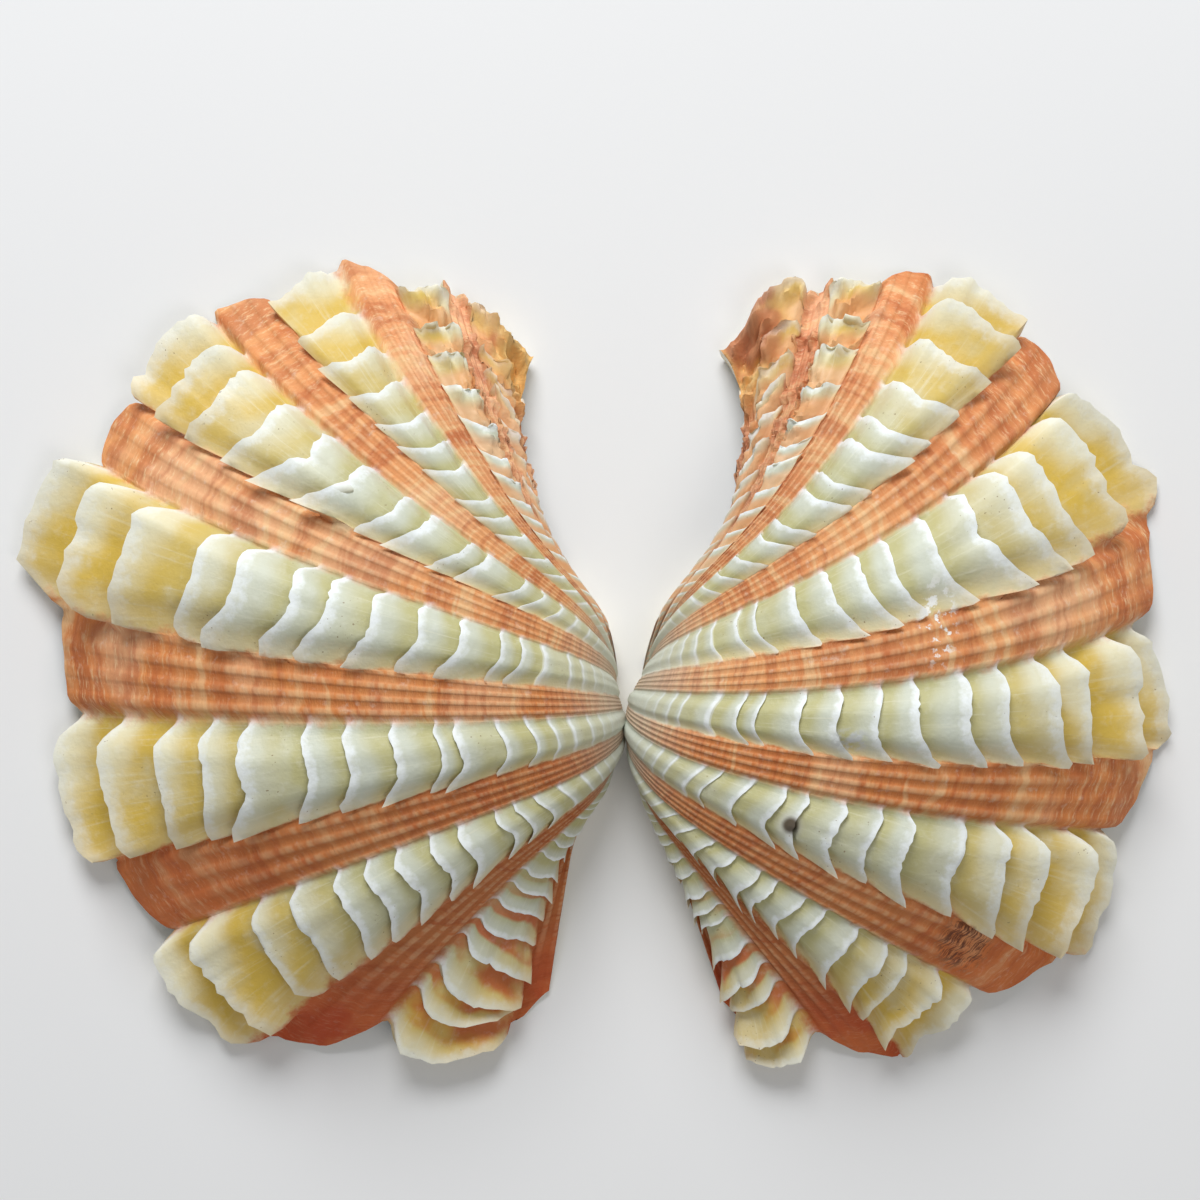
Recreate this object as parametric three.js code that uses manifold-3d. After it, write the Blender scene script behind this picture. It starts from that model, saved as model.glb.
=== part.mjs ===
// Fluted giant clam shell: the two valves of one animal, laid hollow side down
// with their beaks touching. Millimetres, +X from the left valve to the right
// valve, +Y towards the byssal gape, +Z up from the face the shell rests on.
//
// A bivalve grows by adding to its margin while the whole valve turns about the
// hinge, so every point of the margin leaves a logarithmic spiral behind it.
// Each valve here is that rule: a list of margin points, and one spiral for all.
import * as THREE from 'three';
import Module from 'manifold-3d';

const wasm = await Module();
wasm.setup();

// ---- the growth rule -------------------------------------------------------
const INFLATION = 1.15;         // height of the spiral against its reach
const SIDE_INFLATION = 0.35;    // share of sideways reach that becomes height
const BEAK_TURN = 2.45;         // radians grown from the margin back to the beak
const SCALE_TURN = 1.57;        // radians over which the ribs carry scales
const SCALES = 13;              // rows of scales along each rib
const BEAK_ROWS = 5;            // rows of the smooth beak

// ---- ribs and scales -------------------------------------------------------
const RIB_HEIGHT = 9;           // fold height at the margin
const SCALE_HEIGHT = 9;         // extra height of the last scale at the margin
const SCALE_FADE = 0.3;         // radians over which tall scales drop to low ones
const LOW_SCALE = 0.42;         // height of the inner scales against the last one
const OVERHANG = 0.3;           // lip reaches this far over the next scale
const RIB_TOP = 0.25;           // half width of the flat rib top, in half spacings
const RIB_FOOT = 0.64;          // half width of the rib at its foot
const CREST_START = -0.045;     // turn at which a rib meets the ground
const VALLEY_START = 0.035;     // turn at which a valley ends, arched off the ground

// ---- the wall --------------------------------------------------------------
const RIM_WALL = 3;             // thickness at the margin
const DOME_WALL = 7;            // thickness in the dome
const INNER_FOLD_FADE = 0.25;   // radians over which the inside loses its folds
const ROOF_TURN = 1.15;         // the hollow ends here; behind it is solid hinge
const ROOF_ROWS = 7;
const GROUND_CUT = 0.6;         // sunk this far and cut flat, so it rests on faces

// Margin points from the hinge end to the byssal end: [reach, along hinge, rib].
// Reach is away from the hinge; rib is the strength of the rib there, 0 a valley.
// `bulge` widens the beak at its hinge end and at its byssal end; `lobe` is the
// curl of the byssal corner back over the gape.
const LEFT = {
  name: 'left_valve',
  side: -1,
  pole: [5, -27.5],
  shrink: 0.97,
  twist: -0.03,
  bulge: [6, 8.5],
  lobe: 11,
  keel: 7,
  margin: [
    [8, -72, 0], [38, -78, 0.75], [67, -86, 0], [89, -61, 0.9], [114, -48, 0],
    [112, -14, 1], [135, 13, 0], [119, 48, 1], [126, 75, 0], [95, 84, 1],
    [90, 109, 0], [68, 101, 0.8], [55, 114, 0], [38, 100, 0.5], [33, 107, 0],
    [28, 96, 0.35], [21, 90, 0],
  ],
};
const RIGHT = {
  name: 'right_valve',
  side: 1,
  pole: [18.3, -28],
  shrink: 0.89,
  twist: -0.125,
  bulge: [3.5, 9],
  lobe: 13,
  keel: 9,
  margin: [
    [13, -74, 0], [28.5, -79, 0.7], [49, -87, 0], [62, -67, 0.85], [90, -68, 0],
    [95, -36, 0.95], [121, -20, 0], [106, 7.5, 1], [126, 38, 0], [98, 66.5, 1],
    [98, 95, 0], [71.5, 94, 0.95], [60, 113, 0], [44, 102, 0.5], [38, 108, 0],
    [31, 102, 0.4], [22, 92, 0],
  ],
};

const mix = (a, b, t) => a + (b - a) * t;
const ease = (t) => {
  const c = Math.min(1, Math.max(0, t));
  return c * c * (3 - 2 * c);
};

// Smooth curve through the margin points, u = 0 at the first point.
function marginAt(valve, u) {
  const list = valve.margin;
  const last = list.length - 1;
  const i = Math.min(last - 1, Math.floor(u));
  const t = u - i;
  const pick = (n) => list[Math.min(last, Math.max(0, n))];
  const [a, b, c, d] = [pick(i - 1), pick(i), pick(i + 1), pick(i + 2)];
  return [0, 1].map((k) => b[k] + 0.5 * t * (c[k] - a[k]
    + t * (2 * a[k] - 5 * b[k] + 4 * c[k] - d[k] + t * (3 * (b[k] - c[k]) + d[k] - a[k]))));
}

// Strength of the rib fold at u: 1 on a full rib top, 0 in the valley.
function ribAt(valve, u) {
  const centre = 2 * Math.floor(u / 2) + 1;
  const point = valve.margin[centre];
  if (!point) return 0;
  const away = Math.abs(u - centre);
  return point[2] * ease((RIB_FOOT - away) / (RIB_FOOT - RIB_TOP));
}

// How far the edges stand back from the plain spiral: the broad beak, and the
// curl of the byssal corner.
function setBack(valve, u, turn) {
  const top = valve.margin.length - 1;
  const share = u < valve.keel ? 1 - u / valve.keel : (u - valve.keel) / (top - valve.keel);
  const beak = share * valve.bulge[u < valve.keel ? 0 : 1] * ease((turn - 0.7) / 0.9);
  const corner = u > top - 2 ? ((u - top + 2) / 2) ** 2 : 0;
  return beak + valve.lobe * corner * Math.exp(-Math.abs(turn) / 0.12);
}

// The plain growth surface, without ribs: u across the ribs, turn along them.
function grow(valve, u, turn) {
  const [reach, along] = marginAt(valve, u);
  const size = Math.exp(-valve.shrink * turn);
  const lift = INFLATION * Math.hypot(reach, SIDE_INFLATION * along);
  const x = reach * Math.cos(turn);
  const [c, s] = [Math.cos(valve.twist * turn), Math.sin(valve.twist * turn)];
  return new THREE.Vector3(
    size * (x * c - along * s) - setBack(valve, u, turn),
    size * (x * s + along * c),
    size * lift * Math.sin(turn));
}

function outward(valve, u, turn) {
  const top = valve.margin.length - 1;
  const step = 0.02;
  const [u0, u1] = [Math.max(0, u - 0.5), Math.min(top, u + 0.5)];
  const across = grow(valve, u1, turn).sub(grow(valve, u0, turn));
  const along = grow(valve, u, turn - step).sub(grow(valve, u, turn + step));
  return along.cross(across).normalize();
}

// A point of the wall: `lift` times the rib height, plus `extra` millimetres.
function wallPoint(valve, u, turn, lift, extra) {
  const size = Math.exp(-valve.shrink * turn);
  const away = ribAt(valve, u) * RIB_HEIGHT * lift * size + extra;
  return grow(valve, u, turn).addScaledVector(outward(valve, u, turn), away);
}

const startTurn = (valve, u) => mix(VALLEY_START, CREST_START, ribAt(valve, u));

// Columns: a valley, then the foot, both shoulders and the far foot of each rib.
function columnsOf(valve) {
  const columns = [];
  for (let centre = 1; centre < valve.margin.length; centre += 2) {
    columns.push(centre - 1, centre - RIB_FOOT, centre - RIB_TOP);
    columns.push(centre + RIB_TOP, centre + RIB_FOOT);
  }
  columns.push(valve.margin.length - 1);
  return columns;
}

// Outside of the valve, margin row first. Every scale is three rows: its root,
// its free lip leaning over towards the margin, and the underside of the lip.
function outerRows(valve, columns) {
  const rows = [];
  const step = SCALE_TURN / SCALES;
  const point = (u, turn, scale) => {
    const start = startTurn(valve, u);
    const grown = start + turn * (BEAK_TURN - start) / BEAK_TURN;
    const size = Math.exp(-valve.shrink * grown);
    const tall = LOW_SCALE + (1 - LOW_SCALE) * Math.exp(-turn / SCALE_FADE);
    const fade = ease((SCALE_TURN - turn) / 0.6);
    const extra = scale * SCALE_HEIGHT * size * tall * fade * ribAt(valve, u);
    return wallPoint(valve, u, grown, 1, extra);
  };
  for (let n = 0; n < SCALES; n += 1) {
    const root = n * step;
    const lean = (u) => OVERHANG * step * ribAt(valve, u);
    rows.push(columns.map((u) => point(u, root, 0)));
    rows.push(columns.map((u) => point(u, root + 0.18 * step - 0.3 * lean(u), 0.72)));
    rows.push(columns.map((u) => point(u, root + 0.34 * step - lean(u), 1)));
  }
  for (let n = 0; n <= BEAK_ROWS; n += 1) {
    const turn = mix(SCALE_TURN, BEAK_TURN, n / BEAK_ROWS);
    rows.push(columns.map((u) => point(u, turn, 0)));
  }
  return rows;
}

// Inside of the valve, margin row first: the roof of the hollow, the back wall
// coming down in front of the hinge, then the flat hinge plate on the ground.
function innerRows(valve, columns) {
  const rows = [];
  const last = columns.length - 1;
  const grounded = (n) => n < 2;
  for (let r = 0; r < ROOF_ROWS; r += 1) {
    rows.push(columns.map((u, n) => {
      const start = startTurn(valve, u);
      const turn = mix(start, ROOF_TURN, (r / (ROOF_ROWS - 1)) ** 1.2);
      const wall = mix(RIM_WALL, DOME_WALL, ease(turn / 0.6)) * (n === last ? 0.7 : 1);
      const fold = Math.exp(-Math.max(0, turn) / INNER_FOLD_FADE);
      const p = wallPoint(valve, u, turn, fold, -wall);
      if (r === 0) p.setZ(grow(valve, u, start).z);
      if (!grounded(n)) return p;
      return grow(valve, u, turn).setZ(0);
    }));
  }
  const plate = [[1.2, -0.02], [1.4, -0.3], [1.75, -0.6], [2.1, -0.6]];
  for (const [turn, sink] of plate) {
    rows.push(columns.map((u) => grow(valve, u, turn).setZ(sink)));
  }
  return rows;
}

// Closed skin of one valve, as one list of points and one list of triangles.
function valveSkin(valve) {
  const columns = columnsOf(valve);
  const outer = outerRows(valve, columns);
  const inner = innerRows(valve, columns);
  const points = [];
  const faces = [];
  const index = (rows) => rows.map((row) => row.map((p) => points.push(p) - 1));
  const [out, inn] = [index(outer), index(inner)];

  const sheet = (rows, turned) => {
    for (let r = 0; r + 1 < rows.length; r += 1) {
      for (let n = 0; n + 1 < rows[r].length; n += 1) {
        const [a, b, c, d] = [rows[r][n], rows[r][n + 1], rows[r + 1][n + 1], rows[r + 1][n]];
        if (turned) faces.push([a, c, b], [a, d, c]);
        else faces.push([a, b, c], [a, c, d]);
      }
    }
  };
  // Joins two edges of different length, one triangle at a time.
  const seam = (first, second) => {
    let [i, j] = [0, 0];
    const [m, n] = [first.length - 1, second.length - 1];
    while (i < m || j < n) {
      if (j === n || (i < m && (i + 1) / m <= (j + 1) / n)) {
        faces.push([first[i], second[j], first[i + 1]]);
        i += 1;
      } else {
        faces.push([first[i], second[j], second[j + 1]]);
        j += 1;
      }
    }
  };
  const edge = (rows, n) => rows.map((row) => row[n]);
  sheet(out, false);
  sheet(inn, true);
  seam(out[0], inn[0]);
  seam(edge(out, columns.length - 1), edge(inn, columns.length - 1));
  seam([...out.at(-1)].reverse(), [...inn.at(-1)].reverse());
  seam(edge(out, 0).reverse(), edge(inn, 0).reverse());
  return { points, faces };
}

function toManifold(points, faces, flip) {
  const vertProperties = new Float32Array(points.flatMap((p) => [p.x, p.y, p.z]));
  const order = faces.flatMap(([a, b, c]) => (flip ? [a, c, b] : [a, b, c]));
  const triVerts = new Uint32Array(order);
  return new wasm.Manifold(new wasm.Mesh({ numProp: 3, vertProperties, triVerts }));
}

// The ground: a block whose top face cuts every rib end off flat.
function groundBlock() {
  const box = new THREE.BoxGeometry(600, 600, 40);
  const corner = box.attributes.position;
  const points = [];
  const merged = [];
  for (let n = 0; n < corner.count; n += 1) {
    const p = new THREE.Vector3().fromBufferAttribute(corner, n);
    let at = points.findIndex((q) => q.distanceTo(p) < 1e-6);
    if (at < 0) at = points.push(p) - 1;
    merged.push(at);
  }
  const faces = [];
  for (let n = 0; n < box.index.count; n += 3) {
    faces.push([0, 1, 2].map((k) => merged[box.index.getX(n + k)]));
  }
  points.forEach((p) => p.setZ(p.z - 20));
  return toManifold(points, faces, false);
}

function buildValve(valve, shell) {
  const { points, faces } = valveSkin(valve);
  for (const p of points) {
    p.set(valve.side * (p.x + valve.pole[0]), p.y + valve.pole[1], p.z - GROUND_CUT);
  }
  const solid = toManifold(points, faces, valve.side < 0).subtract(groundBlock());
  const mesh = solid.getMesh();
  const geometry = new THREE.BufferGeometry();
  geometry.setAttribute('position', new THREE.Float32BufferAttribute(mesh.vertProperties, 3));
  geometry.setIndex(Array.from(mesh.triVerts));
  geometry.computeVertexNormals();
  const part = new THREE.Mesh(geometry, shell);
  part.name = valve.name;
  return part;
}

// ---- the object ------------------------------------------------------------
const leftShell = new THREE.MeshStandardMaterial({
  name: 'left_shell', color: 0xe3d9ac, roughness: 0.6, metalness: 0,
});
const rightShell = new THREE.MeshStandardMaterial({
  name: 'right_shell', color: 0xe0d6b0, roughness: 0.6, metalness: 0,
});

const clam = new THREE.Group();
clam.name = 'giant_clam_shell';
clam.add(buildValve(LEFT, leftShell), buildValve(RIGHT, rightShell));

// Origin in the middle of the resting face.
const bounds = new THREE.Box3().setFromObject(clam);
const centre = bounds.getCenter(new THREE.Vector3());
for (const part of clam.children) {
  part.geometry.translate(-centre.x, -centre.y, -bounds.min.z);
}

export default clam;
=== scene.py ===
# %% [markdown]
# # A fluted giant clam shell
# The object is the shell of one animal: two valves laid hollow side down with
# their beaks touching. Each valve is a fan of broad ribs that carry overhanging
# scales, with finely lined orange furrows between them.
#
# A clam shell is a shape that follows a rule. The animal adds shell to the
# margin while the valve turns about its hinge, so each point of the margin
# leaves a logarithmic spiral behind it. The valves are therefore computed, not
# sculpted: a smooth growth surface first, then the ribs and scales raised on it
# by Geometry Nodes, then materials that read where on the shell they are.

import math
from types import SimpleNamespace

import bpy
import numpy as np
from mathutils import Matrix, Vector


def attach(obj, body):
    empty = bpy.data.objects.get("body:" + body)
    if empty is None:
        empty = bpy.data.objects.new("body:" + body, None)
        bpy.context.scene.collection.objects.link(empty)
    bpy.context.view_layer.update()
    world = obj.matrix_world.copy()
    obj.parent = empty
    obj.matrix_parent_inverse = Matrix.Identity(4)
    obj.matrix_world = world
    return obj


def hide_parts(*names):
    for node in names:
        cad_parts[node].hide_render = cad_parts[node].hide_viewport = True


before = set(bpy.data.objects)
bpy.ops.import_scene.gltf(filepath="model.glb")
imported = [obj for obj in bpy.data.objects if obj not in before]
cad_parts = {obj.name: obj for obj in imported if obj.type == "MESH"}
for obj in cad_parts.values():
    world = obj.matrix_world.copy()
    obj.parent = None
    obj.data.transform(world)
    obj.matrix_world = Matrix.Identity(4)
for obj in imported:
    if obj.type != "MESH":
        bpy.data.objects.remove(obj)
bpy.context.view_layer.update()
MM = 0.001

# %% [markdown]
# ## The growth rule
# One valve is described by a short list of margin points, in millimetres, from the
# hinge end round to the byssal gape. Each gives the reach from the hinge, the place
# along it, and how strong the rib is. Points 0, 2, 4 and so on lie in furrows and
# points 1, 3, 5 and so on are rib crests. `u` counts along this list. `turn` is how
# far the valve has turned since a piece of shell was laid down: 0 at the margin and
# BEAK_TURN at the beak. `shrink` and `twist` say how a younger margin was smaller
# and swung round; `bulge`, `lobe` and `keel` set the broad beak and the byssal
# corner back from the plain spiral.

# %% The two valves
INFLATION = 1.09                # height of the dome against its reach
SIDE_INFLATION = 0.35           # how much the distance along the hinge adds to it
BEAK_TURN = 2.45                # radians from the margin to the beak
SCALE_TURN = 1.57               # radians over which the ribs carry scales
SCALES = 14                     # scales on each rib
PITCH = SCALE_TURN / SCALES     # radians from one scale to the next

LEFT = dict(
    node="left_valve", slot="left_shell", side=-1, pole=(5, -27.5), shrink=0.97,
    twist=-0.03, bulge=(6, 8.5), lobe=11, keel=7, seed=3,
    margin=[
        (8, -72, 0), (38, -78, .75), (67, -86, 0), (89, -61, .9), (114, -48, 0),
        (111, -16, 1), (132, 13, 0), (117, 47, 1), (120, 73, 0), (91, 80, 1),
        (87, 105, 0), (66, 96, .8), (55, 114, 0), (38, 100, .5), (33, 107, 0),
        (28, 96, .35), (21, 90, 0)],
)
RIGHT = dict(
    node="right_valve", slot="right_shell", side=1, pole=(18.3, -28), shrink=0.89,
    twist=-0.125, bulge=(3.5, 9), lobe=13, keel=9, seed=8,
    margin=[
        (13, -74, 0), (28.5, -79, .7), (49, -87, 0), (62, -67, .85), (90, -68, 0),
        (94, -36, .95), (119, -20, 0), (103.5, 7.5, 1), (122, 37, 0), (93, 63, 1),
        (95, 92, 0), (70, 92, .95), (60, 113, 0), (44, 102, .5), (38, 108, 0),
        (31, 102, .4), (22, 92, 0)],
)
MIDDLE = (0.494, -15.579)       # middle of the resting face, seen from the hinge point
LAST = 16                       # number of the last margin point
print("margin points per valve:", len(LEFT["margin"]), len(RIGHT["margin"]))


# %% The plain growth surface
STEP_FOOT = 0.70                # where the step in the margin at a rib starts, in u
STEP_RAMP = 0.38                # width of its slope, in u
STEP_LEFT = 0.3                 # share of the step that is left in the oldest shell
STEP_FADE = 0.35                # radians over which the rest fades
STEP_LIFT = 0.4                 # share of the step that changes the height as well
BACK_FROM, BACK_OVER = 0.7, 0.9     # radians over which the beak is set back
LOBE_WIDTH = 2                  # width of the byssal lobe, in u
LOBE_FADE = 0.12                # radians over which it fades
NEAR_U, NEAR_TURN = 0.5, 0.02   # steps for measuring the slope of the surface


def ease(t):
    """A smooth ramp from 0 to 1."""
    c = np.clip(t, 0, 1)
    return c * c * (3 - 2 * c)


def side_of(u):
    """-1 in a furrow, 0 on the crest, +1 in the next furrow towards the byssal end."""
    return u - (2 * np.floor(u / 2) + 1)


def through(points, at):
    """Smooth curve through a list of points; at counts points and may be an array."""
    last = len(points) - 1
    i = np.clip(np.floor(at).astype(int), 0, last - 1)
    t = (at - i)[..., None]
    a, b, c, d = (points[np.clip(i + k, 0, last)] for k in (-1, 0, 1, 2))
    return b + 0.5 * t * (c - a + t * (2 * a - 5 * b + 4 * c - d + t * (3 * (b - c) + d - a)))


def margin_at(valve, u, turn, step):
    """The margin, as a curve through the furrows with a level step at every rib.

    The first result gives the place, the second one the height of the dome.
    """
    p = np.array(valve["margin"], float)[:, :2]
    steps = p[1::2] - through(p[::2], np.arange(LAST // 2) + 0.5)
    rib = np.clip(np.floor(u / 2).astype(int), 0, LAST // 2 - 1)
    level = ease((STEP_FOOT - np.abs(side_of(u))) / STEP_RAMP)[..., None]
    fade = STEP_LEFT + (1 - STEP_LEFT) * np.exp(-np.maximum(turn, 0) / STEP_FADE)
    smooth = through(p[::2], u / 2)
    fade = np.broadcast_to(fade, u.shape)[..., None]
    in_step = step * steps[rib] * level
    return smooth + in_step * fade, smooth + STEP_LIFT * in_step


def set_back(valve, u, turn):
    """How far the broad beak and the curled byssal corner stand back."""
    keel = valve["keel"]
    near, far = valve["bulge"]
    share = np.where(u < keel, near * (1 - u / keel), far * (u - keel) / (LAST - keel))
    corner = np.clip((u - LAST + LOBE_WIDTH) / LOBE_WIDTH, 0, 1) ** 2
    lobe = valve["lobe"] * corner * np.exp(-np.abs(turn) / LOBE_FADE)
    return share * ease((turn - BACK_FROM) / BACK_OVER) + lobe


def grow(valve, u, turn, step=1.0):
    """Millimetres from the valve's pole: reach, along the hinge, height."""
    now, full = margin_at(valve, u, turn, step)
    reach, along = now[..., 0], now[..., 1]
    size = np.exp(-valve["shrink"] * turn)
    lift = INFLATION * np.hypot(full[..., 0], SIDE_INFLATION * full[..., 1])
    c, s = np.cos(valve["twist"] * turn), np.sin(valve["twist"] * turn)
    x = reach * np.cos(turn)
    return np.stack([size * (x * c - along * s) - set_back(valve, u, turn),
                     size * (x * s + along * c), size * lift * np.sin(turn)], -1)


def unit(v):
    return v / np.maximum(np.linalg.norm(v, axis=-1, keepdims=True), 1e-9)


def directions(valve, u, turn):
    """Outward normal and direction of growth, both measured without the steps."""
    u0, u1 = np.clip(u - NEAR_U, 0, LAST), np.clip(u + NEAR_U, 0, LAST)
    across = grow(valve, u1, turn, 0) - grow(valve, u0, turn, 0)
    along = grow(valve, u, turn - NEAR_TURN, 0) - grow(valve, u, turn + NEAR_TURN, 0)
    return unit(np.cross(along, across)), unit(along)


probe = grow(LEFT, np.array([7.0]), np.array([0.8]))[0]
print("left valve, crest of a middle rib at turn 0.8:", round(float(probe[2])), "mm up")

# %% [markdown]
# ## Laying out the skin
# The skin of a valve is a sheet of quads. Its columns run along the ribs and its
# rows along the growth lines. Rows are bunched where a scale's thin lip turns
# over, and columns where the furrows have their fine riblets, so the detail has
# points to stand on and the plain parts stay light.

# %% Rows and columns
LIP_STEPS = np.array([0, .02, .05, .08, .11, .14, .17, .22, .29, .37, .46, .56, .66, .76, .86, .94])
RIB_COLUMNS = 19
FURROW_COLUMNS = 17
BEAK_ROWS = 34
RIB_EDGE = 0.62                 # a rib's columns reach this far from its crest, in u
RIB_HALF = 0.54                 # where the last of them really runs at the margin
RIB_WIDENING = 0.03             # and how much further out it runs towards the beak
WIDE_FROM, WIDE_OVER = 0.05, 0.5    # radians over which it widens
RIBLET = 0.19                   # spacing of the furrow riblets, in u


def column_places():
    """u of every column: an even count on each rib and in each furrow."""
    places = []
    for crest in range(1, LAST, 2):
        places += list(np.linspace(crest - 1, crest - RIB_EDGE, FURROW_COLUMNS // 2 + 1)[:-1])
        places += list(np.linspace(crest - RIB_EDGE, crest + RIB_EDGE, RIB_COLUMNS + 1)[:-1])
        places += list(np.linspace(crest + RIB_EDGE, crest + 1, FURROW_COLUMNS // 2 + 1)[:-1])
    return np.array(places + [LAST], float)


def spread(u, turn):
    """Where a column really runs: ribs take less of the margin than of the beak."""
    side = side_of(u)
    away = np.abs(side)
    half = RIB_HALF + RIB_WIDENING * ease((turn - WIDE_FROM) / WIDE_OVER)
    place = np.where(away < RIB_EDGE, away * half / RIB_EDGE,
                     half + (away - RIB_EDGE) * (1 - half) / (1 - RIB_EDGE))
    return u - side + np.sign(side) * place


def row_places():
    """Every row from margin to beak, counted in scales: 3.25 is a quarter through scale 3."""
    numbers = np.repeat(np.arange(SCALES), len(LIP_STEPS))
    places = np.tile(LIP_STEPS, SCALES)
    beak = np.linspace(0, (BEAK_TURN - SCALE_TURN) / PITCH, BEAK_ROWS)
    return np.append(numbers + places, SCALES + beak)


columns = column_places()
row_phase = row_places()
print("grid:", len(row_phase), "rows x", len(columns), "columns")

# %% [markdown]
# ## Marks of wear
# A few marks belong to one place on this shell only, so no rule makes them. Each
# is given by its middle and its radius in millimetres on the finished pair, and
# the node trees further down read these same values.

# %% Marks of wear
PIT = (44.4, -37.5, 2.0)             # bored by another animal
WORN_PATCH = (58.0, -17.1, 6.5)      # chalky, beside a rib
LUMP = (-60.3, 35.1, 4.5)            # a healed swelling in a furrow
GROWTH_BREAK = (79.1, 10.8, 6.0)     # pale line where growth stopped for a while
DARK_TUFT = (88.2, -68.1, 9.0)       # matted dark growth in a furrow
print("marks of wear:", len((PIT, WORN_PATCH, LUMP, GROWTH_BREAK, DARK_TUFT)))

# %% [markdown]
# ## Where each scale sits
# Scales on neighbouring ribs don't line up, and the ends of a lip lead its middle.
# The rows of the skin are bent to follow them: every rib shifts its scales a
# little, at random from a fixed seed, and the rows ease from one rib to the next.
# A row is also slanted, so that a lip stands square to its rib in plan.

# %% Rows that follow the lips
LIP_TILT = 0.16                 # how far the byssal end of a lip leads
MARGIN_SLANT = 0.6              # share of the slant that is left at the margin
SLANT_LIMIT, FIRST_SLANT_LIMIT = 0.16, 0.34     # radians per unit of u
LEAST_STEEP = 400               # (millimetres per radian) squared, keeps slants finite
SHIFT = 0.30                    # largest shift of a scale, as a share of the pitch
BOW, HINGE_BOW = 0.34, 0.40     # how far a lip's ends lead, and how much more by the hinge
WEAKEST, STRONGEST = 0.62, 1.2  # range of the scales' heights
LAST_SCALE = 0.75               # the same for the scale at the margin


def rib_values(per_rib, u):
    """Spreads one value per rib over the columns, level on a rib, eased between."""
    f = np.clip((u - 1) / 2, 0, per_rib.shape[-1] - 1)
    i = np.clip(np.floor(f).astype(int), 0, per_rib.shape[-1] - 2)
    t = ease((f - i - 0.31) / 0.38)
    return per_rib[..., i] * (1 - t) + per_rib[..., i + 1] * t


def slant_of(valve, crest, turn):
    """Turn gained per unit of u, so that the byssal end of a scale leads a little."""
    crest, turn = np.broadcast_arrays(np.clip(crest, 1, LAST - 1), turn)
    half = NEAR_TURN / 2
    down = (grow(valve, crest, turn + half) - grow(valve, crest, turn - half))[..., :2] / NEAR_TURN
    across = (grow(valve, crest + NEAR_U, turn) - grow(valve, crest - NEAR_U, turn))[..., :2]
    steep = np.maximum((down ** 2).sum(-1), LEAST_STEEP)
    square = -(down * across).sum(-1) / steep
    tilt = -LIP_TILT * np.sqrt((across ** 2).sum(-1) / steep) * (crest > 2)
    limit = np.where(crest > 2, SLANT_LIMIT, FIRST_SLANT_LIMIT)
    return np.clip(square + tilt, -limit, limit)


def slanted(valve, u, turn):
    """Turn added to a point by the slant, fading in the furrows and at the byssal end."""
    side = side_of(u)
    fade = (1 - ease((np.abs(side) - 0.5) / 0.5)) * (1 - ease((u - 12) / 2))
    return side * fade * slant_of(valve, u - side, turn)


def layout(valve):
    """Turn, scale number, place in the scale, side of the rib and vigour of every point."""
    rng = np.random.default_rng(valve["seed"])
    ribs = len(valve["margin"]) // 2
    u = np.broadcast_to(columns, (len(row_phase), len(columns)))
    phase = row_phase[:, None]
    number = np.floor(np.minimum(phase, SCALES - 1e-6)).astype(int)
    shift = rng.uniform(-SHIFT, SHIFT, (SCALES + 1, ribs))
    shift[0] = shift[-1] = 0
    lower, upper = shift[number[:, 0]], shift[number[:, 0] + 1]
    within = np.clip(phase - number, 0, 1)
    moved = phase + rib_values(lower * (1 - within) + upper * within, columns)
    side = side_of(u)
    ends = np.clip(np.abs(side) / 0.66, 0, 1) ** 2
    bow = (BOW + HINGE_BOW * (side < 0)) * ends * ease((phase - 1) / 4)
    calm = 1 - ease((phase - SCALES + 3) / 3)
    share = calm * (MARGIN_SLANT + (1 - MARGIN_SLANT) * ease(phase / 3))
    turn = (moved - bow * calm) * PITCH + slanted(valve, u, moved * PITCH) * share
    turn = turn - MARGIN_SLANT * slanted(valve, u, 0.0)
    vigour = rng.uniform(WEAKEST, STRONGEST, (SCALES + 1, ribs))
    vigour[0] = LAST_SCALE
    vigour = rib_values(vigour[number[:, 0]], columns)
    return dict(u=u, turn=turn, number=number + 0 * u, place=phase - number + 0 * u,
                side=side, vigour=vigour, phase=phase + 0 * u)


plan = layout(LEFT)
print("turn runs from", round(float(plan["turn"].min()), 3), "to", round(float(plan["turn"].max()), 3))

# %% [markdown]
# ## The outer sheet
# Ribs reach a little further down than furrows, so the shell stands on the feet
# of its ribs. Each point also keeps the outward direction, the direction of
# growth and the spacing of the scales, which the node tree needs later.

# %% The outer sheet
RIB_HEIGHT = 8.5                # millimetres, at the margin
CREST_START = -0.040            # turn at which a crest starts
VALLEY_START = 0.030            # and a furrow
EARLIEST_START = -0.045


def rib_strength(valve, u):
    per_rib = np.array([p[2] for p in valve["margin"][1::2]], float)
    return rib_values(per_rib, u)


def rib_profile(side):
    """Cross-section of a rib, steeper towards the hinge."""
    foot = np.where(side < 0, 0.68, 0.72)
    top = np.where(side < 0, 0.40, 0.36)
    return ease((foot - np.abs(side)) / (foot - top))


def start_turn(valve, u):
    """Turn at which the skin starts, at the margin."""
    lift = rib_strength(valve, u) * rib_profile(side_of(u))
    edge = MARGIN_SLANT * slanted(valve, u, 0.0)
    start = VALLEY_START + (CREST_START - VALLEY_START) * lift + edge
    return np.maximum(start, EARLIEST_START)


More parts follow.
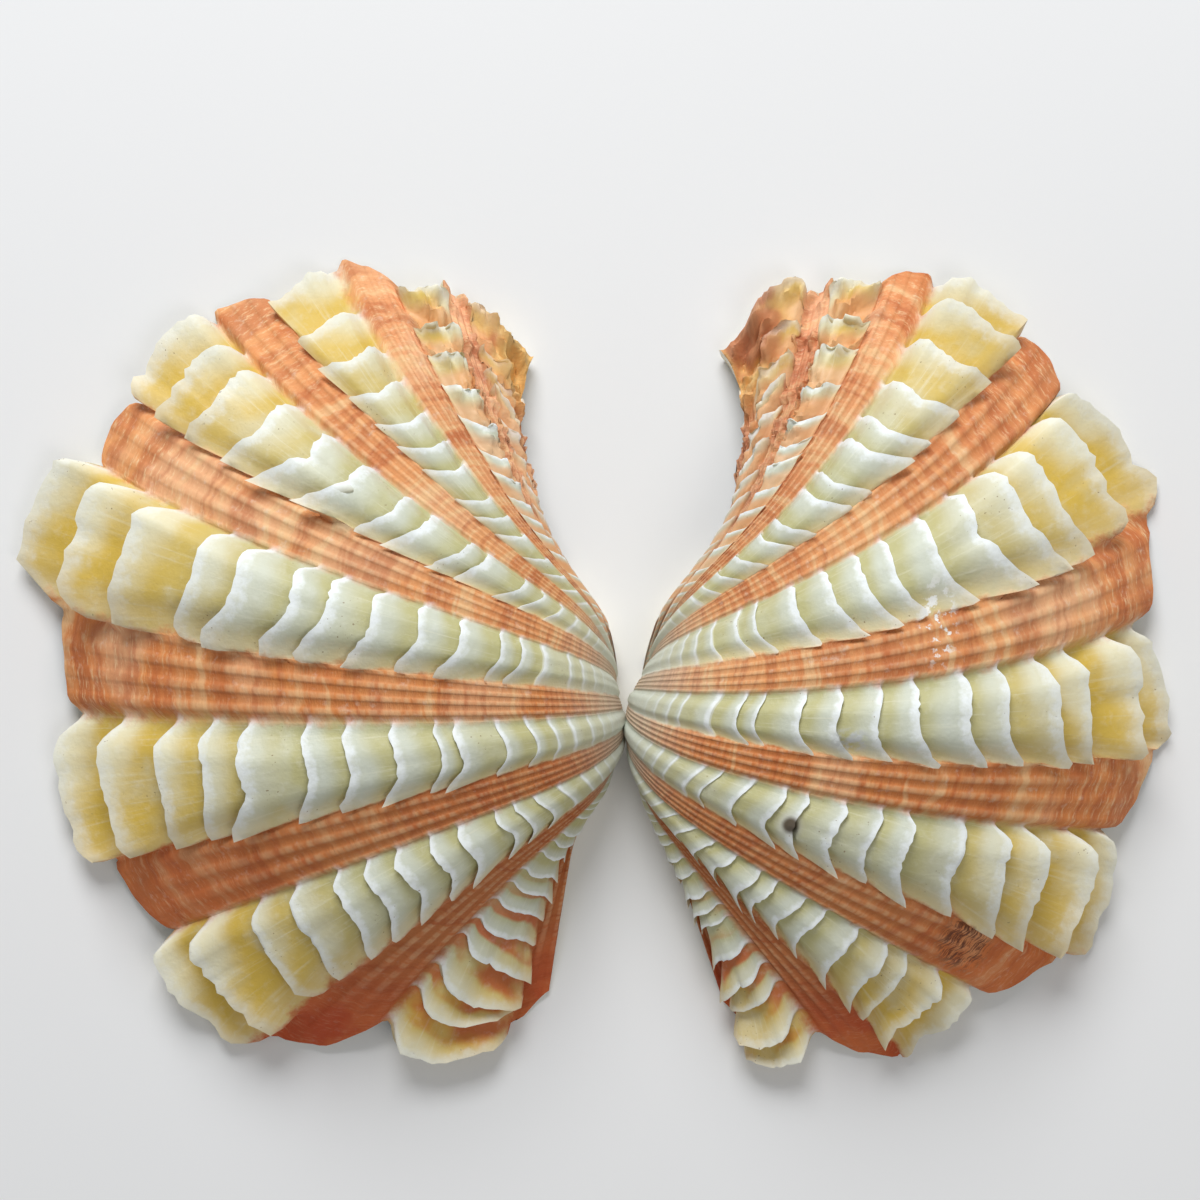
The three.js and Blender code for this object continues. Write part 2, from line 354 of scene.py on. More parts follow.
def outer_sheet(valve):
    p = layout(valve)
    u, start = p["u"], start_turn(valve, p["u"])
    turn = start + p["turn"] * (BEAK_TURN - start) / BEAK_TURN
    track = spread(u, turn)
    out, along = directions(valve, track, turn)
    p.update(turn=turn, out=out, grow=along, size=np.exp(-valve["shrink"] * turn),
             strength=rib_strength(valve, u), place_mm=grow(valve, track, turn),
             outer=np.ones_like(u))
    ahead = grow(valve, track, turn - PITCH / 2) - grow(valve, track, turn + PITCH / 2)
    p["pitch"] = np.linalg.norm(ahead, axis=-1)
    return p


print("a furrow starts at turn", VALLEY_START, "and a crest at", CREST_START)

# %% [markdown]
# ## The inner sheet
# The inside of a valve is hollow. It follows the outside at the distance of the
# wall, thin at the rim and thick in the dome, keeps the fold of each rib near the
# margin only, and ends in the flat hinge plate that the valve stands on.

# %% The inner sheet
RIM_WALL, DOME_WALL = 2.4, 6.5  # millimetres
WALL_TURN = 0.5                 # radians over which the wall thickens
ROOF_TURN = 1.15                # turn at which the roof meets the hinge plate
ROOF_ROWS = 34
ROOF_BUNCH = 1.3                # above 1, rows are closer at the margin
FOLD_FADE = 0.25                # radians over which the ribs fade inside
PLATE_FROM, PLATE_TO, PLATE_ROWS = 1.2, 2.1, 14
PLATE_HEIGHT = -0.1             # the node tree lifts the plate to the ground


def inner_sheet(valve):
    """Roof of the hollow, the wall in front of the hinge, and the hinge plate."""
    u = np.broadcast_to(columns, (ROOF_ROWS, len(columns)))
    start = start_turn(valve, u)
    share = (np.linspace(0, 1, ROOF_ROWS) ** ROOF_BUNCH)[:, None]
    turn = start + share * (ROOF_TURN - start)
    track = spread(u, turn)
    out, _ = directions(valve, track, turn)
    size = np.exp(-valve["shrink"] * turn)
    fold = rib_strength(valve, u) * rib_profile(side_of(u)) * RIB_HEIGHT * size
    fold = fold * np.exp(-np.maximum(turn, 0) / FOLD_FADE)
    wall = RIM_WALL + (DOME_WALL - RIM_WALL) * ease(turn / WALL_TURN)
    plain = grow(valve, track, turn)
    roof = plain + out * (fold - wall)[..., None]
    roof[0, :, 2] = plain[0, :, 2]
    hinge = ease((u - 0.35) / 0.75)                      # stands on the ground by the hinge
    roof[..., 2] = roof[..., 2] * hinge
    roof[..., :2] = plain[..., :2] + (roof[..., :2] - plain[..., :2]) * hinge[..., None]
    plate = []
    for t in np.linspace(PLATE_FROM, PLATE_TO, PLATE_ROWS):
        row = grow(valve, columns, np.full_like(columns, t))
        row[:, 2] = PLATE_HEIGHT
        plate.append(row)
    return np.concatenate([roof, np.array(plate)])


print("inner sheet:", ROOF_ROWS + PLATE_ROWS, "rows x", len(columns), "columns")

# %% [markdown]
# ## Closing the skin
# The two sheets are sewn together along all four edges, so that each valve is one
# closed body with a real wall. What the sheets know about each point goes along as
# mesh attributes, where Geometry Nodes and materials can read it.


# %% The closed skin
def seam(first, second):
    """Triangles between two edges of different length."""
    faces, i, j = [], 0, 0
    m, n = len(first) - 1, len(second) - 1
    while i < m or j < n:
        if j == n or (i < m and (i + 1) * n <= (j + 1) * m):
            faces.append((first[i], second[j], first[i + 1]))
            i += 1
        else:
            faces.append((first[i], second[j], second[j + 1]))
            j += 1
    return faces


def sheet_faces(index, turned):
    """Quads between neighbouring rows and columns; turned makes them face the other way."""
    a, b, c, d = index[:-1, :-1], index[:-1, 1:], index[1:, 1:], index[1:, :-1]
    order = (a, d, c, b) if turned else (a, b, c, d)
    return np.stack([q.ravel() for q in order], 1).tolist()


POINT_VALUES = ("turn", "place", "number", "side", "vigour", "strength", "size", "pitch",
                "phase", "u", "outer")


def base_valve(valve):
    """The smooth valve as a mesh, with its place in the growth rule on every point."""
    outer, inner = outer_sheet(valve), inner_sheet(valve)
    rows, cols = outer["u"].shape
    out_index = np.arange(rows * cols).reshape(rows, cols)
    in_index = rows * cols + np.arange(inner.shape[0] * cols).reshape(-1, cols)
    faces = sheet_faces(out_index, False) + sheet_faces(in_index, True)
    faces += seam(out_index[0], in_index[0])
    faces += seam(out_index[:, -1], in_index[:, -1])
    faces += seam(out_index[-1][::-1], in_index[-1][::-1])
    faces += seam(out_index[:, 0][::-1], in_index[:, 0][::-1])
    points = np.concatenate([outer["place_mm"].reshape(-1, 3), inner.reshape(-1, 3)])
    flip = np.array([valve["side"], 1, 1])
    points = (points + [*valve["pole"], 0]) * flip - [*MIDDLE, 0]
    faces = [tuple(int(k) for k in (f if valve["side"] > 0 else f[::-1])) for f in faces]
    mesh = bpy.data.meshes.new(valve["node"] + "_skin")
    mesh.from_pydata((points * MM).tolist(), [], faces)
    extra = len(points) - rows * cols
    for name in POINT_VALUES:
        values = np.append(np.asarray(outer[name], float).ravel(), np.zeros(extra))
        mesh.attributes.new(name, "FLOAT", "POINT").data.foreach_set("value", values)
    for name in ("out", "grow"):
        values = np.concatenate([(outer[name] * flip).reshape(-1, 3), np.zeros((extra, 3))])
        mesh.attributes.new(name, "FLOAT_VECTOR", "POINT").data.foreach_set("vector", values.ravel())
    return mesh


skins = {v["node"]: base_valve(v) for v in (LEFT, RIGHT)}
for name, mesh in skins.items():
    print(name, len(mesh.vertices), "points", len(mesh.polygons), "faces")

# %% [markdown]
# ## Small helpers for node trees
# Both the geometry tree and the materials are sums and products of a few named
# values, so they are easier to read as short expressions than as lists of links.


# %% Node helpers
class Tree:
    """Adds nodes to a tree; every method returns an output socket."""

    def __init__(self, tree, shader):
        self.tree, self.shader = tree, shader

    def node(self, kind, inputs=(), **settings):
        n = self.tree.nodes.new(kind)
        for key, value in settings.items():
            setattr(n, key, value)
        for key, value in dict(inputs).items():
            self.put(n.inputs[key], value)
        return n

    def put(self, socket, value):
        if isinstance(value, bpy.types.NodeSocket):
            self.tree.links.new(value, socket)
        else:
            socket.default_value = value

    def math(self, op, *values):
        return self.node("ShaderNodeMath", enumerate(values), operation=op).outputs[0]

    def add(self, *values):
        total = values[0]
        for v in values[1:]:
            total = self.math("ADD", total, v)
        return total

    def times(self, *values):
        total = values[0]
        for v in values[1:]:
            total = self.math("MULTIPLY", total, v)
        return total

    def vector(self, op, *values):
        return self.node("ShaderNodeVectorMath", enumerate(values), operation=op).outputs[0]

    def scaled(self, vector, amount):
        n = self.node("ShaderNodeVectorMath", {0: vector, "Scale": amount}, operation="SCALE")
        return n.outputs[0]

    def step(self, value, low, high, to_low=0.0, to_high=1.0):
        n = self.node("ShaderNodeMapRange", {
            "Value": value, "From Min": low, "From Max": high,
            "To Min": to_low, "To Max": to_high}, interpolation_type="SMOOTHSTEP")
        return n.outputs[0]

    def curve(self, value, points):
        n = self.node("ShaderNodeFloatCurve", {"Value": value})
        line = n.mapping.curves[0]
        while len(line.points) < len(points):
            line.points.new(0.5, 0.5)
        for spot, (x, y) in zip(line.points, points):
            spot.location = (x, y)
            spot.handle_type = "AUTO_CLAMPED"
        n.mapping.update()
        return n.outputs[0]

    def value(self, name):
        if self.shader:
            return self.node("ShaderNodeAttribute", attribute_name=name).outputs["Fac"]
        n = self.node("GeometryNodeInputNamedAttribute", {"Name": name}, data_type="FLOAT")
        return n.outputs["Attribute"]

    def direction(self, name):
        n = self.node("GeometryNodeInputNamedAttribute", {"Name": name}, data_type="FLOAT_VECTOR")
        return n.outputs["Attribute"]

    def combine(self, x, y, z=0.0):
        return self.node("ShaderNodeCombineXYZ", {0: x, 1: y, 2: z}).outputs[0]

    def noise(self, where, scale, detail=2.0, rough=0.5):
        n = self.node("ShaderNodeTexNoise", {
            "Vector": where, "Scale": scale, "Detail": detail, "Roughness": rough})
        return n.outputs[0]

    def mark(self, where, spot, reach=1.0, stretch=1.0):
        """1 in the middle of a round or oval mark, 0 beyond its edge."""
        x, y, radius = (v * MM for v in spot)
        parts = self.node("ShaderNodeSeparateXYZ", {0: where}).outputs
        across = self.math("SUBTRACT", parts[0], x)
        up = self.times(self.math("SUBTRACT", parts[1], y), stretch)
        away = self.math("SQRT", self.add(self.times(across, across), self.times(up, up)))
        return self.step(away, radius * reach, radius * reach * 0.45)

    def mix(self, share, a, b):
        n = self.node("ShaderNodeMix", data_type="RGBA")
        self.put(n.inputs[0], share)
        self.put(n.inputs[6], a)
        self.put(n.inputs[7], b)
        return n.outputs[2]


print("node helpers ready")

# %% [markdown]
# ## Raising the ribs and scales
# On the real shell a scale is the old margin of the valve: a thin flared edge that
# was left standing when growth went on beneath it. There are over two hundred of
# them, so they are not modelled one by one. One Geometry Nodes tree raises them all
# from the smooth skin, because each point already knows which scale it belongs to
# and how far through it is. The tree's sizes are named inputs.

# %% The tree and its sizes
flutes = bpy.data.node_groups.new("Flutes", "GeometryNodeTree")
FLUTE_SIZES = {
    "Rib Height": RIB_HEIGHT * MM, "Last Scale Height": 8.5 * MM, "Inner Scale Height": 3.6 * MM,
    "Overhang": 1.15, "Chipping": 0.36, "Blade Reach": 5.5 * MM, "Riblet Height": 0.45 * MM,
    "Growth Line Height": 0.28 * MM,
}
flutes.interface.new_socket("Geometry", in_out="INPUT", socket_type="NodeSocketGeometry")
for name, amount in FLUTE_SIZES.items():
    socket = flutes.interface.new_socket(name, in_out="INPUT", socket_type="NodeSocketFloat")
    socket.default_value = amount
flutes.interface.new_socket("Hinge Way", in_out="INPUT", socket_type="NodeSocketFloat")
flutes.interface.new_socket("Material", in_out="INPUT", socket_type="NodeSocketMaterial")
flutes.interface.new_socket("Inside Material", in_out="INPUT", socket_type="NodeSocketMaterial")
flutes.interface.new_socket("Geometry", in_out="OUTPUT", socket_type="NodeSocketGeometry")
print("flute tree sizes:", len(FLUTE_SIZES))

# %% What each point knows
g = Tree(flutes, shader=False)
entry = g.node("NodeGroupInput").outputs
turn, place, side = g.value("turn"), g.value("place"), g.value("side")
size, strength, outer = g.value("size"), g.value("strength"), g.value("outer")
number, vigour, along_u = g.value("number"), g.value("vigour"), g.value("u")
out, forward = g.direction("out"), g.direction("grow")
where = g.node("GeometryNodeInputPosition").outputs[0]
print("flute tree so far:", len(flutes.nodes), "nodes")

# %% [markdown]
# The cross-section of a rib is steep on the hinge side and rounder on the byssal
# side. Along a rib, `stand` is how high a scale stands and `lean` how far it leans
# over towards the margin; both rise fast at the lip and fall away slowly behind it.

# %% Ribs and the profile of a scale
STAND = [(0, 0), (.02, .45), (.05, .70), (.08, .86), (.11, .96), (.14, 1), (.17, .97),
         (.22, .86), (.29, .73), (.46, .47), (.66, .24), (.86, .06), (1, 0)]
LEAN = [(0, 0), (.02, .01), (.05, .08), (.08, .20), (.11, .32), (.14, .37), (.17, .33),
        (.22, .23), (.29, .16), (.46, .07), (.66, .02), (1, 0)]
hinge_flank = g.step(side, -0.68, g.step(turn, 0.0, 0.5, -0.40, -0.22))
byssal_flank = g.math("SUBTRACT", 1.0, g.step(side, g.step(turn, 0.0, 0.5, 0.36, 0.10), 0.72))
rib_shape = g.times(hinge_flank, byssal_flank, strength)
stand, lean = g.curve(place, STAND), g.curve(place, LEAN)
scale_edge = g.times(g.step(side, -0.72, -0.58), g.math("SUBTRACT", 1.0, g.step(side, 0.36, 0.70)))
print("points on the two profile curves:", len(STAND), "and", len(LEAN))

# %% [markdown]
# Lips are chipped and nibbled by noise that differs from scale to scale. The noise
# is read a little off whole numbers, because there it would be the same for all.
# Scales are tall at the margin, lower inwards, and worn away at the beak.

# %% Chipped lips
SCALE_FADE = 0.28               # radians over which tall scales drop to low ones
edge_place = g.combine(g.add(along_u, 0.37), g.add(g.times(number, 7.31), 0.43), 0.71)
chips = g.noise(edge_place, 1.7, 3.0, 0.55)
nibbles = g.noise(edge_place, 17.3, 2.0, 0.6)
wear = g.math("SUBTRACT", g.add(1.0, g.times(g.math("SUBTRACT", nibbles, 0.5), 0.42)),
              g.times(entry["Chipping"], g.step(chips, 0.46, 0.74)))
young = g.math("POWER", 2.718, g.math("DIVIDE", turn, -SCALE_FADE))
extra = g.math("SUBTRACT", entry["Last Scale Height"], entry["Inner Scale Height"])
scale_height = g.add(entry["Inner Scale Height"], g.times(extra, young))
worn_away = g.step(turn, 1.5, 0.9)
raised = g.times(scale_edge, strength, vigour, wear, worn_away)
print("scales fade over", SCALE_FADE, "radians")

# %% [markdown]
# Furrows carry fine riblets and growth lines. The byssal end is different again:
# its small ribs are knobbly, and its corner curls up into an ear.

# %% Riblets, growth lines, knobs and ear
riblets = g.math("COSINE", g.times(g.math("SUBTRACT", along_u, RIB_EDGE), 2 * math.pi / RIBLET))
furrow = g.math("SUBTRACT", 1.0, g.math("MINIMUM", g.times(rib_shape, 2.5), 1.0))
line_place = g.combine(g.times(along_u, 1.37), g.add(g.times(turn, 42.0), 0.4), 0.6)
lines = g.math("SUBTRACT", g.noise(line_place, 1.0, 3.0, 0.6), 0.5)
ear_noise = g.noise(g.combine(g.times(along_u, 2.1), g.times(turn, 9.0), 0.3), 1.0, 2.0, 0.6)
ear = g.times(g.step(along_u, 14.5, 15.7), g.step(turn, 0.36, 0.08), g.step(ear_noise, 0.30, 0.62))
knob_place = g.combine(g.times(along_u, 2.7), g.add(g.times(turn, 27.0), 0.3), 0.6)
knobs = g.noise(knob_place, 1.0, 1.0, 0.5)
knobs = g.times(g.step(knobs, 0.46, 0.66), g.step(along_u, 11.8, 12.8), g.step(turn, 0.9, 0.4))
print("riblets in each half of a furrow:", round((1 - RIB_EDGE) / RIBLET, 1))

# %% [markdown]
# All of these add up to a height above the smooth skin. They shrink towards the
# beak with `size`, as everything grown by a younger animal is smaller.

# %% How high each point stands
EAR_HEIGHT, KNOB_HEIGHT = 6.0 * MM, 3.0 * MM
PIT_DEPTH, LUMP_HEIGHT = 5.5 * MM, 4.0 * MM
height = g.times(outer, size, g.add(
    g.times(ear, EAR_HEIGHT), g.times(knobs, KNOB_HEIGHT),
    g.times(g.mark(where, PIT, 1.15), -PIT_DEPTH), g.times(g.mark(where, LUMP), LUMP_HEIGHT),
    g.times(rib_shape, entry["Rib Height"]),
    g.times(raised, scale_height, stand),
    g.times(riblets, furrow, entry["Riblet Height"], g.step(turn, 0.0, 0.35, 0.2, 1.2)),
    g.times(lines, entry["Growth Line Height"], 2.0)))
print("ear and knobs, mm:", round(EAR_HEIGHT / MM, 1), round(KNOB_HEIGHT / MM, 1))

# %% [markdown]
# A lip also reaches forwards over the next scale, and its hinge end sticks out
# sideways as a small hooked blade. `Hinge Way` is +1 or -1, because one valve is
# laid out as the mirror image of the other, which turns sideways round.

# %% How far each lip reaches
rounded = g.math("SUBTRACT", 1.0, g.times(0.35, g.step(side, -0.05, 0.60)))
reach = g.times(outer, g.value("pitch"), MM, entry["Overhang"], raised, rounded, lean)
hooked = g.times(g.step(side, -0.71, -0.58), g.step(side, -0.12, -0.60), raised, stand)
blade = g.times(outer, size, entry["Blade Reach"], hooked)
reach = g.add(reach, g.times(blade, 1.2, g.step(turn, 0.0, 0.3)))
forward = g.vector("MULTIPLY", forward, g.combine(1.0, 1.0, g.step(turn, 0.0, 0.3, 0.1, 1.0)))
sideways = g.vector("CROSS_PRODUCT", out, forward)
offset = g.vector("ADD", g.scaled(out, height), g.scaled(forward, reach))
offset = g.vector("ADD", offset, g.scaled(sideways, g.times(blade, entry["Hinge Way"])))
moved = g.node("GeometryNodeSetPosition", {"Geometry": entry["Geometry"], "Offset": offset})
print("flute tree so far:", len(flutes.nodes), "nodes")

# %% [markdown]
# Where the skin would go under the ground it has to stop. Cutting it off flat
# would leave rows lying on top of each other, which renders as black patches, so
# the outer sheet flattens out gently instead. The inner sheet is only lifted clear.

# %% Resting on the ground
SOFT = 3 * MM                   # height below which the outer sheet flattens out
CLEAR = 0.06 * MM               # height of the inner sheet's lowest faces
parts = g.node("ShaderNodeSeparateXYZ", {0: where}).outputs
below = g.math("MINIMUM", g.math("SUBTRACT", parts[2], SOFT), 0.0)
above = g.math("SUBTRACT", g.math("MAXIMUM", parts[2], SOFT), SOFT)
eased = g.add(above, g.times(g.math("EXPONENT", g.math("DIVIDE", below, SOFT)), SOFT))
flat = g.math("MAXIMUM", parts[2], CLEAR)
level = g.add(g.times(outer, eased), g.times(g.math("SUBTRACT", 1.0, outer), flat))
grounded = g.combine(parts[0], parts[1], level)
rested = g.node("GeometryNodeSetPosition", {"Geometry": moved.outputs[0], "Position": grounded})
print("the outer sheet flattens out below", round(SOFT / MM, 1), "mm")

# %% Outside and inside materials
real = g.node("GeometryNodeRealizeInstances", {"Geometry": rested.outputs[0]})
outside = g.node("GeometryNodeSetMaterial", {
    "Geometry": real.outputs[0], "Material": entry["Material"]})
inside = g.node("GeometryNodeSetMaterial", {
    "Geometry": outside.outputs[0], "Material": entry["Inside Material"],
    "Selection": g.math("LESS_THAN", outer, 0.9)})
g.tree.links.new(inside.outputs[0], g.node("NodeGroupOutput").inputs[0])
print("flute tree:", len(flutes.nodes), "nodes")

# %% [markdown]
# ## The outside finish
# Ribs and furrows of a fluted clam differ in colour and in texture. The ribs and
# their scales are cream to greenish yellow, deeper yellow in the shelter of each
# lip, partly their own yellow and partly painted shade, and white along the broken
# edge, partly chalk and partly a painted bluish highlight. The furrows are orange,
# redder towards the hinge, partly their own red and partly painted shade, with
# dark grooves between pale riblets, partly painted shade and highlight, and light
# and dark bands where growth paused. One material mixes the two by a rib mask, so
# that their border can be ragged, and each part of it is a function of its own.
#
# It reads the mesh attributes, so the colours follow the growth of the shell.
# First come the values that all parts share. Colours are linear.


# %% Where on the shell
def shell_places(t):
    """What the finish needs to know about each point of the shell."""
    at = SimpleNamespace(u=t.value("u"), turn=t.value("turn"), phase=t.value("phase"))
    at.spot = t.node("ShaderNodeTexCoord").outputs["Object"]
    at.side = t.math("SUBTRACT", t.math("FLOORED_MODULO", at.u, 2.0), 1.0)
    at.place, at.number = t.math("FRACT", at.phase), t.math("FLOOR", at.phase)
    at.broad = t.noise(at.spot, 60.0, 3.0)
    at.fine = t.noise(at.spot, 420.0, 4.0, 0.6)
    at.fibres = t.noise(t.combine(t.times(at.u, 9.0), t.times(at.turn, 190.0), 0.5), 1.0, 4.0, 0.65)
    ragged = t.times(t.math("SUBTRACT", t.noise(at.spot, 240.0, 4.0, 0.65), 0.5), 0.28)
    at.shifted = t.add(at.side, ragged)
    hinge_flank = t.step(at.shifted, -0.68, -0.54)
    byssal_flank = t.math("SUBTRACT", 1.0, t.step(at.shifted, 0.50, 0.74))
    at.rib = t.times(hinge_flank, byssal_flank, t.step(t.value("strength"), 0.1, 0.5))
    at.inner = t.step(at.turn, 0.10, 0.45)            # 0 near the margin, 1 further in
    at.young = t.step(at.turn, 0.55, 0.12)            # 1 on the last few scales
    ridge = t.math("COSINE", t.times(t.math("SUBTRACT", at.u, RIB_EDGE), 2 * math.pi / RIBLET))
    at.ridge = t.step(ridge, -0.5, 0.8)
    return at


print("shared values of the outside finish defined")

# %% [markdown]
# The ground colour of the furrows changes round the margin: dark red at the hinge
# end, partly the shell's own red and partly painted shade on that side, which faces
# away from the light, orange in the middle and pinker at the byssal end. Over it lie
# a peach and deep orange mottle and the bands of growth, red-brown and pale.

# %% Ground colour of the furrows
# The dark reds at the hinge end are partly the shell's own red and partly painted shade.
FURROW_TONES_WITH_HINGE_SHADE = [
    (0.0, (.44, .050, .012)), (.13, (.52, .075, .018)), (.25, (.64, .160, .035)),
    (.38, (.74, .26, .070)), (.50, (.84, .37, .14)), (.70, (.84, .38, .15)),
    (.88, (.84, .42, .23)), (1.0, (.74, .40, .25))]
INNER_ORANGE, MARGIN_ORANGE = (.64, .27, .09, 1), (.76, .23, .06, 1)
PEACH, DEEP_ORANGE = (.88, .54, .32, 1), (.62, .17, .05, 1)
RED_BROWN, PALE_BAND = (.42, .07, .015, 1), (.90, .62, .32, 1)


def furrow_ground(t, at):
    ramp = t.node("ShaderNodeValToRGB", {"Fac": t.math("DIVIDE", at.u, float(LAST))})
    stops = ramp.color_ramp.elements
    while len(stops) < len(FURROW_TONES_WITH_HINGE_SHADE):
        stops.new(0.5)
    for stop, (position, tone) in zip(stops, FURROW_TONES_WITH_HINGE_SHADE):
        stop.position = position
        stop.color = (*tone, 1)
    base = t.mix(t.times(at.inner, t.step(at.u, 7.0, 3.0), 0.6), ramp.outputs[0], INNER_ORANGE)
    edge = t.times(t.step(at.turn, 0.35, 0.05), t.step(at.broad, 0.40, 0.60), 0.5)
    base = t.mix(edge, base, MARGIN_ORANGE)
    mottle = t.noise(at.spot, 32.0, 2.0, 0.6)
    base = t.mix(t.times(t.step(mottle, 0.48, 0.64), t.step(at.u, 3.0, 7.0), 0.50), base, PEACH)
    base = t.mix(t.times(t.step(mottle, 0.50, 0.36), 0.45), base, DEEP_ORANGE)
    wave = t.times(t.math("SUBTRACT", at.broad, 0.5), 0.10)
    band_place = t.combine(t.add(t.times(at.u, 0.45), 0.3), t.times(t.add(at.turn, wave), 23.0), 0.4)
    bands = t.noise(band_place, 1.0, 2.0, 0.6)
    red_band = t.times(t.step(bands, 0.52, 0.36), 0.85)
    base = t.mix(red_band, base, t.mix(0.55, base, RED_BROWN))
    pale_band = t.times(t.step(bands, 0.54, 0.66), t.step(at.u, 2.5, 6.5), 0.55)
    return t.mix(pale_band, base, PALE_BAND)


print("furrow tones:", len(FURROW_TONES_WITH_HINGE_SHADE))

# %% [markdown]
# Further in, the riblets show as pale beaded ridges between dark grooves: partly their
# own colour, partly a painted highlight on the ridges and painted shade in the grooves.
# Towards the margin the furrows look fibrous instead, with short pale and dark hairs
# across them. Close to the beak the colour is worn away.

# %% Riblets, fibres and wear of the furrows
RIBLET_CREAM, RIBLET_TAN = (.84, .68, .40, 1), (.86, .60, .34, 1)
GROOVE_BROWN_AND_SHADE, FIBRE_BROWN, FIBRE_GOLD = (.34, .12, .03, 1), (.34, .10, .02, 1), (.94, .68, .38, 1)
CHALK_DUST, WORN_GREY = (.92, .84, .70, 1), (.56, .52, .42, 1)
TUFT_BROWN, LUMP_TAN = (.10, .022, .008, 1), (.72, .56, .34, 1)


def furrow_finish(t, at, warm):
    base = furrow_ground(t, at)
    beads = t.noise(t.combine(t.times(at.u, 2.3), t.add(t.times(at.turn, 55.0), 0.5), 0.2),
                    1.0, 1.0, 0.5)
    # painted highlight on the riblet ridges, over their own pale colour
    lit = t.times(at.ridge, t.step(beads, 0.30, 0.66), at.inner, 0.30)
    furrow = t.mix(lit, base, t.mix(warm, RIBLET_CREAM, RIBLET_TAN))
    # the grooves between riblets: partly their own brown and partly painted shade
    groove_and_shade = t.times(t.math("SUBTRACT", 1.0, at.ridge), at.inner, 0.55)
    furrow = t.mix(groove_and_shade, furrow, t.mix(0.45, base, GROOVE_BROWN_AND_SHADE))
    outer_zone = t.math("SUBTRACT", 1.0, at.inner)
    light_hair = t.times(t.step(at.fibres, 0.50, 0.72), t.step(at.u, 0.5, 8.0, 0.10, 1.0),
                         t.add(0.15, t.times(outer_zone, 0.55)))
    furrow = t.mix(light_hair, furrow, FIBRE_GOLD)
    dark_hair = t.times(t.step(at.fibres, 0.46, 0.28), 0.4)
    furrow = t.mix(dark_hair, furrow, t.mix(0.5, base, FIBRE_BROWN))
    dust = t.times(t.step(at.fine, 0.56, 0.78), t.step(at.u, 0.5, 8.0, 0.06, 0.3))
    furrow = t.mix(dust, furrow, CHALK_DUST)
    furrow = t.mix(t.times(t.step(at.turn, 1.25, 2.0), 0.7), furrow, WORN_GREY)
    tuft = t.times(t.mark(at.spot, DARK_TUFT), t.step(at.fibres, 0.42, 0.58), 0.9)
    furrow = t.mix(tuft, furrow, TUFT_BROWN)
    return t.mix(t.times(t.mark(at.spot, LUMP), 0.7), furrow, LUMP_TAN)


print("furrow finish defined")

# %% [markdown]
# Each scale is painted by how far through it a point is: painted shade on the
# underside of the lip, a white broken lip with a painted bluish highlight, a pale
# back, and a yellow root under the next lip, partly its own yellow and partly
# painted shade. The last few scales are the yellowest, most of all on their hinge half.

# %% Body colour of the ribs
# The root colours are partly the scales' own yellow and partly painted shade under the next lip; the
# underside colours are painted shade.
OLD_ROOT_AND_SHADE, YOUNG_ROOT_AND_SHADE = (.52, .49, .23, 1), (.70, .47, .06, 1)
OLD_BACK, YOUNG_BACK = (.63, .66, .55, 1), (.82, .76, .52, 1)
OLD_UNDER_SHADE, YOUNG_UNDER_SHADE = (.50, .48, .28, 1), (.56, .42, .10, 1)
CLOUD_GREEN, STREAK_CREAM, LIP_WHITE_AND_HIGHLIGHT = (.68, .71, .60, 1), (.86, .84, .66, 1), (.88, .92, .92, 1)


def rib_body(t, at, root_place):
    root = t.mix(at.young, OLD_ROOT_AND_SHADE, YOUNG_ROOT_AND_SHADE)
    back = t.mix(at.young, OLD_BACK, YOUNG_BACK)
    body = t.mix(t.times(t.step(root_place, 0.20, 0.66), 0.95), back, root)
    body = t.mix(t.times(t.step(at.broad, 0.50, 0.72), 0.4), body, CLOUD_GREEN)
    streaks = t.noise(t.combine(t.times(at.u, 22.0), t.times(at.turn, 6.0), at.number), 1.0, 3.0, 0.6)
    body = t.mix(t.times(t.step(streaks, 0.52, 0.75), 0.3), body, STREAK_CREAM)
    # The white lip is partly the chalk of the broken edge and partly a painted bluish highlight.
    lip_place = t.add(at.place, t.times(t.math("SUBTRACT", at.fine, 0.5), 0.20))
    chalk_and_highlight = t.add(0.45, t.times(t.math("SUBTRACT", 1.0, at.young), 0.5))
    body = t.mix(t.times(t.step(lip_place, 0.27, 0.15), chalk_and_highlight), body, LIP_WHITE_AND_HIGHLIGHT)
    # painted shade on the underside of each lip
    under = t.times(t.step(at.place, 0.12, 0.02), 0.7)
    return t.mix(under, body, t.mix(at.young, OLD_UNDER_SHADE, YOUNG_UNDER_SHADE))


print("rib body defined")

# %% [markdown]
# Over that lie a tan along the hinge flank of each rib, and stains and wear: red
# between the scales of the first rib, small dark specks, grey at the worn beak, a
# chalky grain, and orange ground showing between the knobs of the small byssal ribs.

# %% Stains and wear of the ribs
HINGE_FLANK_TAN, HINGE_RED, SPECK_BROWN = (.78, .60, .30, 1), (.58, .13, .035, 1), (.22, .13, .05, 1)
BEAK_GREY, GRAIN_WHITE, PATCH_GREY = (.62, .65, .56, 1), (.90, .90, .84, 1), (.60, .62, .60, 1)
BYSSAL_PINK, BYSSAL_ORANGE = (.84, .50, .30, 1), (.80, .34, .14, 1)


